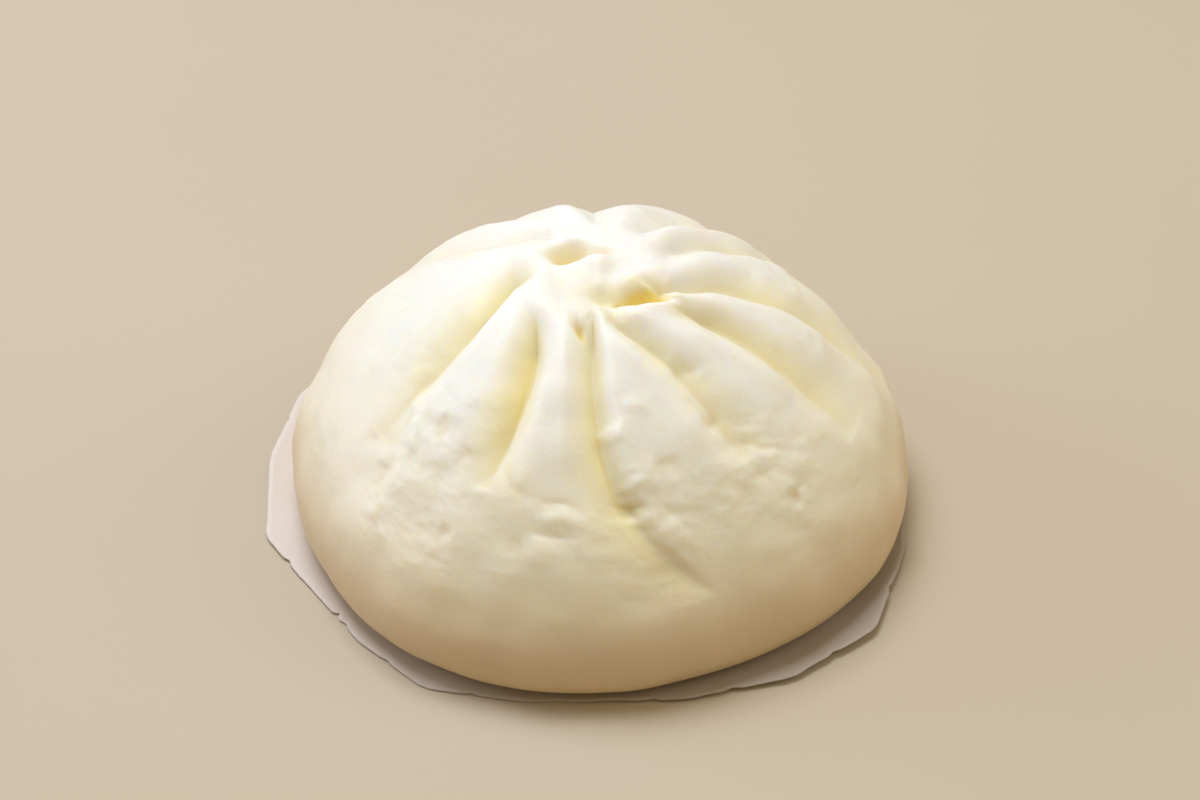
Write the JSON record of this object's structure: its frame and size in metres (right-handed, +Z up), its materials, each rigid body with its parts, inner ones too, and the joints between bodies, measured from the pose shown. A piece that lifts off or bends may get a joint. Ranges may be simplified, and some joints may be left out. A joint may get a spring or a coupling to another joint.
{
  "type": "steamed bun",
  "caption": "Domed steamed bun gathered into curling pleats at an off-centre crown, lying on a thin hand-cut round of baking paper.",
  "frame": {"origin": "on the surface the paper lies on, under the middle of the whole", "axes": "+Z up through the crown, -Y towards the side shown in front, +X to the right of that view"},
  "size_m": [0.1097, 0.11, 0.0512],
  "materials": {
    "dough": "soft steamed dough, satin skin with small wrinkles and pits, yellower in the creases",
    "paper": "thin matte greaseproof paper"
  },
  "bodies": {
    "root": {"bun": "dough", "paper_liner": "paper"}
  },
  "joints": []
}
